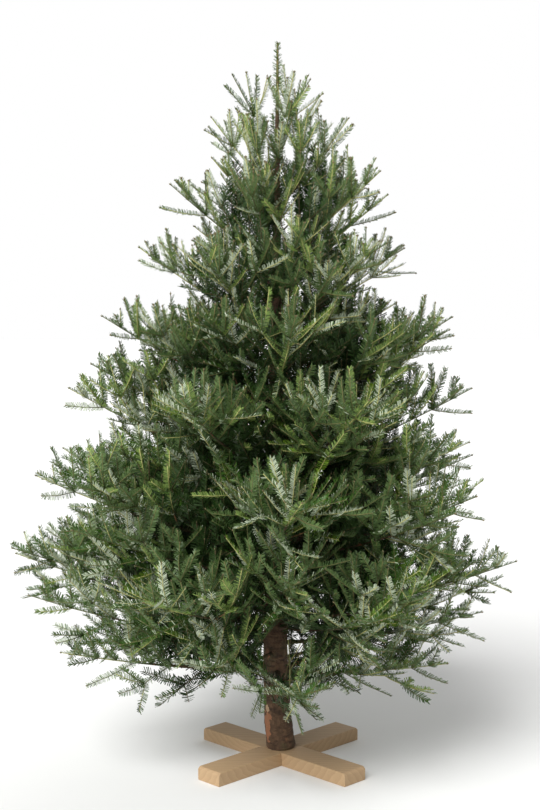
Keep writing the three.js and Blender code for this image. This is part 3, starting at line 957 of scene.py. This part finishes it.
def needle_arrays(shoots, size, width, pitch, glints, seed, all_round=False):
    """Thin blunt needles in two ranks and an upper rank, or all round, along every shoot.

    Returns the corners and triangles of most of them, and of those that turn their silver side out.
    """
    draw = np.random.default_rng(seed)
    points, flats = shoot_arrays(shoots)
    green = np.array([shoot.green for shoot in shoots])
    age = np.array([shoot.age for shoot in shoots])
    run = np.linalg.norm(points[:, 2] - points[:, 0], axis=1)
    counts = np.maximum(0, np.round(run / pitch * green * np.where(age > 2, 0.8, 1.0))).astype(int)
    owner = np.repeat(np.arange(len(shoots)), counts)
    total = len(owner)
    within = np.arange(total) - np.repeat(np.cumsum(counts) - counts, counts)
    share = (within + draw.uniform(0.35, 0.65, total)) / counts[owner]
    place, along = bend_points(points[owner], share)
    across = unit(np.cross(along, flats[owner]))
    over = np.cross(across, along)
    side = np.where(within % 2 == 0, 1.0, -1.0)
    if all_round:
        around = draw.uniform(-math.pi, math.pi, total)
        upper = np.zeros(total, bool)
    else:
        upper = draw.random(total) < NEEDLE["upper"]
        above = draw.uniform(*NEEDLE["upper_around"], total)
        around = np.where(upper, above, draw.normal(*NEEDLE["around"], total))
    outward = (np.cos(around) * side)[:, None] * across + np.sin(around)[:, None] * over
    less = np.where(age[owner] == 0, NEEDLE["tip_lean"] * share ** 3, NEEDLE["old_tip_lean"] * share)
    lean = np.radians(NEEDLE["lean"] - less + draw.normal(0, NEEDLE["lean_spread"], total))
    lean = np.where(upper, lean * NEEDLE["upper_lean"], lean)
    heading = np.cos(lean)[:, None] * along + np.sin(lean)[:, None] * outward
    facing = unit(over - heading * np.sum(over * heading, axis=1)[:, None])
    if all_round:
        twist = draw.uniform(-NEEDLE["round_twist"], NEEDLE["round_twist"], total)
    else:
        twist = draw.normal(0, NEEDLE["twist"], total)
    glinting = draw.random(len(shoots)) < glints
    turned_out = draw.random(total) < np.where(glinting, GLINT_SHARES[0], GLINT_SHARES[1] * glints)[owner]
    twist = np.where(turned_out, draw.uniform(*NEEDLE["turned"], total), twist)[:, None]
    facing = facing * np.cos(twist) + np.cross(heading, facing) * np.sin(twist)
    swell = 0.8 + 0.24 * np.sin(math.pi * np.clip(share, 0, 1) ** 0.8)
    needle = size * swell * draw.uniform(*NEEDLE["size"], total)
    needle *= np.where(upper, NEEDLE["upper_size"], 1.0)
    half = (width / 2 * draw.uniform(*NEEDLE["width"], total))[:, None]
    wide = np.cross(heading, facing) * half
    stem = np.array([shoot.radius for shoot in shoots])[owner]
    root = place + outward * stem[:, None]
    curl = facing * (0.05 * needle * draw.uniform(*NEEDLE["curl"], total))[:, None]
    tip = root + heading * needle[:, None] + curl
    wring = draw.normal(0, NEEDLE["wring"], total)[:, None]
    blunt = (wide * np.cos(wring) + facing * half * np.sin(wring)) * 0.8
    corners = np.stack([root - wide * 0.85, root + wide * 0.85, tip + blunt, tip - blunt], axis=1)
    return needle_faces(corners[~turned_out]), needle_faces(corners[turned_out])


def needle_faces(corners):
    """Two triangles for each needle, from its root to its blunt tip."""
    first = np.arange(len(corners)) * 4
    near = np.stack([first, first + 1, first + 2], axis=1)
    far = np.stack([first, first + 2, first + 3], axis=1)
    return corners.reshape(-1, 3), np.stack([near, far], axis=1).reshape(-1, 3)


def bud_arrays(shoots, side_order, seed):
    """Pointed buds at the tips, with a smaller one on either side at the ends of the main axes."""
    draw = np.random.default_rng(seed)
    starts, ends, sides = [], [], []
    for most_order, side, long in ((1, 0, 7.5), (side_order, 0.9, 6.5), (side_order, -0.9, 6.5)):
        tips = [s for s in shoots if s.age == 0 and s.order <= most_order and s.green > 0]
        points, flats = shoot_arrays(tips)
        place, along = bend_points(points, np.ones(len(tips)))
        across = unit(np.cross(along, flats))
        heading = unit(along + side * across + 0.15 * draw.normal(size=along.shape))
        starts.append(place - heading)
        ends.append(place + heading * long)
        sides.append(flats)
    starts, ends, flats = (np.concatenate(part) for part in (starts, ends, sides))
    count = len(starts)
    along = unit(ends - starts)
    across = unit(np.cross(along, flats))
    over = np.cross(across, along)
    belly = starts + (ends - starts) * 0.45
    thick = 0.3 * np.linalg.norm(ends - starts, axis=1)[:, None]
    corners = np.empty((count, 6, 3))
    corners[:, 0], corners[:, 5] = starts, ends
    for s in range(4):
        angle = s * math.pi / 2
        corners[:, 1 + s] = belly + (math.cos(angle) * across + math.sin(angle) * over) * thick
    faces = []
    for s in range(4):
        a, b = 1 + s, 1 + (s + 1) % 4
        faces += [(0, a, b), (5, b, a)]
    triangles = np.array(faces)[None] + (np.arange(count) * 6)[:, None, None]
    return corners.reshape(-1, 3), triangles.reshape(-1, 3)


def extruded(shape, edges):
    """Extrudes a ring's edges, and returns the corners and edges of the new ring."""
    grown = bmesh.ops.extrude_edge_only(shape, edges=edges)["geom"]
    ring = [item for item in grown if isinstance(item, bmesh.types.BMVert)]
    edges = [item for item in grown if isinstance(item, bmesh.types.BMEdge)]
    return ring, [edge for edge in edges if all(vert in ring for vert in edge.verts)]


def grow_tube(shape, centres, radii, sides, relief):
    """Extrudes a ring along centres, in millimetres. relief moves a point of the skin outwards."""
    ring = list(bmesh.ops.create_circle(shape, cap_ends=False, segments=sides, radius=1)["verts"])
    edges = list({edge for vert in ring for edge in vert.link_edges})
    start_edges = list(edges)
    angles = [math.atan2(vert.co.y, vert.co.x) for vert in ring]
    for i, (centre, radius) in enumerate(zip(centres, radii)):
        before, after = centres[max(i - 1, 0)], centres[min(i + 1, len(centres) - 1)]
        along = (after - before).normalized()
        across, over = section_axes(along)
        if i:
            sources = {vert.co.copy().freeze(): angle for vert, angle in zip(ring, angles)}
            ring, edges = extruded(shape, edges)
            angles = [sources[vert.co.copy().freeze()] for vert in ring]
        for vert, angle in zip(ring, angles):
            outward = across * math.cos(angle) + over * math.sin(angle)
            vert.co = centre + outward * (radius + relief(centre, outward, radius))
    return start_edges, edges


def close_tube(shape, *rings):
    for edges in rings:
        bmesh.ops.holes_fill(shape, edges=edges, sides=0)


def finish_bmesh(shape, name, smooth=True):
    """Turns the faces outwards and makes the mesh, in metres."""
    bmesh.ops.recalc_face_normals(shape, faces=shape.faces)
    bmesh.ops.scale(shape, vec=(MM, MM, MM), verts=shape.verts)
    for face in shape.faces:
        face.smooth = smooth
    mesh = bpy.data.meshes.new(name)
    shape.to_mesh(mesh)
    shape.free()
    return mesh


def trunk_relief(depth):
    """Plates, furrows and blisters of the trunk's bark, with a collar at each whorl."""

    def relief(centre, outward, radius):
        place = centre + outward * radius
        share = clamp(radius / TRUNK["radius"], 0.15, 1)
        plates = noise.noise(Vector((place.x * 0.07, place.y * 0.07, place.z * 0.022)))
        cross = noise.noise(Vector((place.x * 0.05, place.y * 0.05, place.z * 0.16 + 40)))
        blisters = noise.noise(place * 0.12 + Vector((0, 0, 90)))
        rough = (1.0 * plates + 0.55 * cross + 0.7 * max(blisters, 0)) * depth * share
        height = centre.z - CUT_HEIGHT
        collar = sum(math.exp(-((height - tier["attach"]) / 15) ** 2) for tier in TIERS)
        return rough + 0.07 * radius * collar

    return relief


def bough_relief(centre, outward, radius):
    place = centre + outward * radius
    return 0.1 * radius * noise.noise(place * 0.09) + 0.07 * radius * noise.noise(place * 0.3)


# Spots of the trunk's foot: centre and half sizes, in metres, and the colour of the bark there.
TRUNK_SPOTS = (
    ((0.022, -0.045, 0.17), (0.022, 0.02, 0.028), "moss"),
    ((-0.042, -0.03, 0.115), (0.01, 0.03, 0.05), "flake"),
    ((-0.043, -0.03, 0.166), (0.006, 0.02, 0.012), "wood"),
)
EVERY_TIER = range(len(TIERS))


def nodes_named(start, tiers):
    """The packed nodes whose names start so and end in a tier's number and letter."""
    names = []
    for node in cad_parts:
        if not node.startswith(start + "_"):
            continue
        label = node[len(start) + 1:]
        if label[0].isdigit() and int(label[0]) - 1 in tiers:
            names.append(node)
    return sorted(names)


# ---- Operators ------------------------------------------------------------------------------------


class FIR_OT_trunk(bpy.types.Operator):
    """Build the trunk with its bark, in the place of the packed trunk"""

    bl_idname = "fir.trunk"
    bl_label = "Trunk"

    def execute(self, context):
        bark = context.scene.fir_bark
        rings, sides = 230, 56
        heights = [TRUNK["height"] * (i / rings) ** 1.15 for i in range(rings + 1)]  # closer at the foot
        centres = [trunk_point(height) for height in heights]
        shape = bmesh.new()
        relief = trunk_relief(bark.relief / MM)
        foot, top = grow_tube(shape, centres, [trunk_radius(h) for h in heights], sides, relief)
        close_tube(shape, top)
        rim, edges = extruded(shape, foot)
        for vert in rim:
            outward = Vector((vert.co.x, vert.co.y, 0)).normalized()
            vert.co = outward * PEG["radius"] + Vector((0, 0, CUT_HEIGHT))
        rim, edges = extruded(shape, edges)
        bmesh.ops.translate(shape, verts=rim, vec=(0, 0, -PEG["length"]))
        close_tube(shape, edges)
        mesh = finish_bmesh(shape, "trunk_bark")
        material = bark_material("bark_trunk", bark, (0.52, 0.7), 0.63, 34.0, TRUNK_SPOTS)
        add_object("trunk_bark", mesh, material, ["trunk"])
        return {"FINISHED"}


class FIR_OT_boughs(bpy.types.Operator):
    """Build the tapering boughs with their bark, from the trunk out to their last nodes"""

    bl_idname = "fir.boughs"
    bl_label = "Boughs"

    def execute(self, context):
        bark = context.scene.fir_bark
        material = bark_material("bark_boughs", bark, (0.42, 0.6), 0.6, 70.0)
        for label, tiers in (("low", EVERY_TIER[:2]), ("high", EVERY_TIER[2:])):
            shape = bmesh.new()
            for bough in all_boughs():
                if bough.index in tiers:
                    self.grow(shape, bough)
            mesh = finish_bmesh(shape, f"boughs_{label}")
            nodes = nodes_named("bough", tiers) or nodes_named("foliage", tiers)
            add_object(f"boughs_{label}", mesh, material, nodes)
        return {"FINISHED"}

    def grow(self, shape, bough):
        """One bough, sunk a little into the trunk and drawn out thin at its tip."""
        steps = max(8, round(bough.reach / 28))
        first = (trunk_radius(bough.tier["attach"]) - 5) / bough.reach
        last = max(1 - 1.95 / bough.years, first + 0.1)
        centres, radii = [], []
        for i in range(steps + 1):
            t = lerp(first, last, i / steps)
            centres.append(bough.point(t))
            collar = 1 + 0.35 * math.exp(-i * 1.3)
            radii.append(lerp(bough.radius, 2.2, (i / steps) ** 0.8) * collar)
        ends = grow_tube(shape, centres, radii, 9, bough_relief)
        close_tube(shape, *ends)


class FIR_OT_twigs(bpy.types.Operator):
    """Build the twigs of every spray, young and old ones apart"""

    bl_idname = "fir.twigs"
    bl_label = "Twigs"

    def execute(self, context):
        foliage = context.scene.fir_foliage
        base = foliage.twig_radius / MM
        scars = toned(foliage.old_twig, 0.5)
        kinds = (
            ("pale", foliage.pale_twig, lambda shoot: shoot.age < 2 and shoot.tint in PALE_TINTS),
            ("young", foliage.young_twig, lambda shoot: shoot.age < 2 and shoot.tint == "green"),
            # Young twigs of the deep sprays take the shaded twig colour, which is painted shade.
            ("shaded", foliage.painted_shade_twig, lambda shoot: shoot.age < 2 and shoot.tint == "deep"),
            ("old", foliage.old_twig, lambda shoot: shoot.age > 1 and shoot.order > 0),
        )
        every = [shoot for shoots in tree_shoots().values() for shoot in shoots]
        for label, shade, belongs in kinds:
            chosen = [shoot for shoot in every if belongs(shoot)]
            points, flats = shoot_arrays(chosen)
            age = np.array([shoot.age for shoot in chosen], float)
            start = base * (1 + 0.34 * (age + 1)) * 0.92
            end = base * (1 + 0.34 * age) * 0.9
            rings = 2 if label == "shaded" else 3
            corners, triangles = tube_arrays(points, flats, start, end, 3, rings)
            mesh = mesh_from_arrays(f"twigs_{label}", corners, triangles)
            material = twig_material(f"twigs_{label}", shade, scars)
            add_object(f"twigs_{label}", mesh, material, nodes_named("foliage", EVERY_TIER))
        return {"FINISHED"}


class FIR_OT_needles(bpy.types.Operator):
    """Build the needles of every spray, in one piece for each tint and height of the crown"""

    bl_idname = "fir.needles"
    bl_label = "Needles"

    def execute(self, context):
        foliage = context.scene.fir_foliage
        size, width = foliage.needle_length / MM, foliage.needle_width / MM
        pitch = foliage.needle_pitch / MM
        materials = {
            tint: needle_material(tint, getattr(foliage, tint), getattr(foliage, tint + "_under"))
            for tint in TINTS
        }
        for band, low, high in BANDS:
            glints = []
            for number, tint in enumerate(TINTS):
                shoots = [s for s in tree_shoots()[band] if s.tint == tint and s.green > 0]
                scale = HIGH_NEEDLES if band == "high" else 1
                gap, shown = pitch * scale, foliage.glints
                if tint == "deep":
                    scale *= foliage.inner_scale
                    gap, shown = pitch * scale * INNER_GAP, 0
                seed = NEEDLE_SEED + number
                most, turned_out = needle_arrays(shoots, size * scale, width * scale, gap, shown, seed)
                glints.append(turned_out)
                self.add(f"needles_{tint}_{band}", most, materials[tint], range(low, high))
            self.add(f"needles_glint_{band}", joined(glints), materials["silver"], range(low, high))
        return {"FINISHED"}

    def add(self, name, arrays, material, tiers):
        mesh = mesh_from_arrays(name, *arrays)
        add_object(name, mesh, material, nodes_named("foliage", tiers))


class FIR_OT_leader(bpy.types.Operator):
    """Build the leader: its stem and its needles all round"""

    bl_idname = "fir.leader"
    bl_label = "Leader"

    def execute(self, context):
        foliage = context.scene.fir_foliage
        below, stem = leader_shoots()
        points, flats = shoot_arrays([stem])
        foot, tip = (np.array([LEADER[end]]) for end in ("foot", "tip"))
        tube = tube_arrays(points, flats, foot, tip, LEADER["sides"], LEADER["rings"])
        mesh = mesh_from_arrays("leader_stem", *tube)
        material = twig_material("leader_bark", foliage.young_twig, foliage.old_twig)
        add_object("leader_stem", mesh, material, ["foliage_leader"])
        sizes = (LEADER[name] for name in ("needle", "width", "pitch"))
        needles = needle_arrays([below, stem], *sizes, foliage.glints, LEADER["seed"], all_round=True)
        mesh = mesh_from_arrays("leader_needles", *joined(needles))
        material = bpy.data.materials["needles_green"]
        add_object("leader_needles", mesh, material, ["foliage_leader"])
        return {"FINISHED"}


class FIR_OT_buds(bpy.types.Operator):
    """Build the winter buds at the tips of the youngest shoots"""

    bl_idname = "fir.buds"
    bl_label = "Buds"

    def execute(self, context):
        foliage = context.scene.fir_foliage
        parts = [bud_arrays(leader_shoots(), 0, BUD_SEED)]
        for number, (band, shoots) in enumerate(tree_shoots().items()):
            parts.append(bud_arrays(shoots, 1 if band == "high" else 0, BUD_SEED + 1 + number))
        mesh = mesh_from_arrays("buds", *joined(parts))
        material = twig_material("bud_scales", foliage.bud, toned(foliage.bud, 0.5))
        add_object("buds", mesh, material, nodes_named("foliage", EVERY_TIER))
        return {"FINISHED"}


class FIR_OT_stand(bpy.types.Operator):
    """Build the two half-lapped planks of the cross with broken edges"""

    bl_idname = "fir.stand"
    bl_label = "Stand"

    def execute(self, context):
        stand = context.scene.fir_stand
        for label, turn in (("lower", 45), ("upper", 135)):
            node = f"stand_plank_{label}"
            shape = bmesh.new()
            shape.from_mesh(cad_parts[node].data)
            bmesh.ops.remove_doubles(shape, verts=shape.verts, dist=1e-5)
            bmesh.ops.dissolve_limit(
                shape, angle_limit=math.radians(1), verts=shape.verts, edges=shape.edges, delimit=set()
            )
            sharp = [edge for edge in shape.edges if edge.calc_face_angle(0) > math.radians(30)]
            bmesh.ops.bevel(
                shape, geom=sharp, offset=stand.edge, offset_type="OFFSET", affect="EDGES",
                segments=2, profile=0.5, material=-1, clamp_overlap=True,
            )
            bmesh.ops.recalc_face_normals(shape, faces=shape.faces)
            mesh = bpy.data.meshes.new(f"plank_{label}")
            shape.to_mesh(mesh)
            shape.free()
            material = timber_material(f"timber_{label}", stand, math.radians(turn))
            add_object(f"plank_{label}", mesh, material, [node])
        return {"FINISHED"}


class FIR_OT_stage(bpy.types.Operator):
    """Set the floor, the soft lights and the camera"""

    bl_idname = "fir.stage"
    bl_label = "Stage"

    def execute(self, context):
        stage = context.scene.fir_stage
        self.floor(stage)
        self.world(context.scene)
        self.sun("key_light", (-30, 45), softness=35, strength=3.75)
        self.sun("back_light", (150, 42), softness=50, strength=0.9)
        lens = bpy.data.cameras.new("camera")
        lens.lens = stage.lens
        camera = bpy.data.objects.new("camera", lens)
        camera.location = (-stage.aside, -stage.distance, stage.height)
        camera.rotation_euler = (math.pi / 2 - stage.pitch, 0, 0)
        context.scene.collection.objects.link(camera)
        context.scene.camera = camera
        context.scene.view_settings.view_transform = "Standard"
        return {"FINISHED"}

    def floor(self, stage):
        shape = bmesh.new()
        bmesh.ops.create_grid(shape, x_segments=1, y_segments=1, size=30)
        mesh = bpy.data.meshes.new("floor")
        shape.to_mesh(mesh)
        shape.free()
        material, tree, shader = new_material("floor_paint", 0.9)
        faint = mottle(tree, Scale=3.0, Low=0.2, High=0.8)
        paint = mix_colours(tree, faint, stage.floor, toned(stage.floor, 0.985))
        tree.links.new(paint, shader.inputs["Base Color"])
        mesh.materials.append(material)
        floor = bpy.data.objects.new("floor", mesh)
        bpy.context.scene.collection.objects.link(floor)

    def world(self, scene):
        """A soft light from all round, in front of a plain white backdrop."""
        world = bpy.data.worlds.new("studio")
        world.use_nodes = True
        tree = world.node_tree
        light = tree.nodes["Background"]
        light.inputs["Color"].default_value = (1, 1, 1, 1)
        seen = put(tree, "ShaderNodeLightPath")
        strength = put(tree, "ShaderNodeMapRange", {"To Min": 0.3, "To Max": 1.0})
        tree.links.new(seen.outputs["Is Camera Ray"], strength.inputs["Value"])
        tree.links.new(strength.outputs["Result"], light.inputs["Strength"])
        scene.world = world

    def sun(self, name, place, softness, strength):
        """A wide distant light. Its place is an azimuth from the camera and a height, in degrees."""
        light = bpy.data.lights.new(name, "SUN")
        light.energy = strength
        light.angle = math.radians(softness)
        piece = bpy.data.objects.new(name, light)
        azimuth, height = (math.radians(angle) for angle in place)
        flat = math.cos(height)
        towards = Vector((flat * math.sin(azimuth), -flat * math.cos(azimuth), math.sin(height)))
        piece.rotation_euler = (-towards).to_track_quat("-Z", "Y").to_euler()
        bpy.context.scene.collection.objects.link(piece)


class FIR_PT_panel(bpy.types.Panel):
    """Lists the steps that dress the tree, and their sizes and colours"""

    bl_idname = "FIR_PT_panel"
    bl_label = "Cut fir"
    bl_space_type = "VIEW_3D"
    bl_region_type = "UI"
    bl_category = "Fir"

    def draw(self, context):
        for step in STEPS:
            self.layout.operator(step.bl_idname)
        for label, group in SETTINGS.items():
            box = self.layout.box()
            box.label(text=group.__doc__)
            for name in group.__annotations__:
                box.prop(getattr(context.scene, label), name)


SETTINGS = {"fir_foliage": FirFoliage, "fir_bark": FirBark, "fir_stand": FirStand, "fir_stage": FirStage}
STEPS = (
    FIR_OT_stage, FIR_OT_stand, FIR_OT_trunk, FIR_OT_boughs, FIR_OT_twigs, FIR_OT_needles,
    FIR_OT_leader, FIR_OT_buds,
)


def register():
    for group in SETTINGS.values():
        bpy.utils.register_class(group)
    for label, group in SETTINGS.items():
        setattr(bpy.types.Scene, label, bpy.props.PointerProperty(type=group))
    for step in STEPS:
        bpy.utils.register_class(step)
    bpy.utils.register_class(FIR_PT_panel)


def unregister():
    bpy.utils.unregister_class(FIR_PT_panel)
    for step in reversed(STEPS):
        bpy.utils.unregister_class(step)
    for label, group in SETTINGS.items():
        delattr(bpy.types.Scene, label)
        bpy.utils.unregister_class(group)


def main():
    register()
    bpy.ops.fir.stage()
    bpy.ops.fir.stand()
    bpy.ops.fir.trunk()
    bpy.ops.fir.boughs()
    bpy.ops.fir.twigs()
    bpy.ops.fir.needles()
    bpy.ops.fir.leader()
    bpy.ops.fir.buds()


if __name__ == "__main__":
    main()
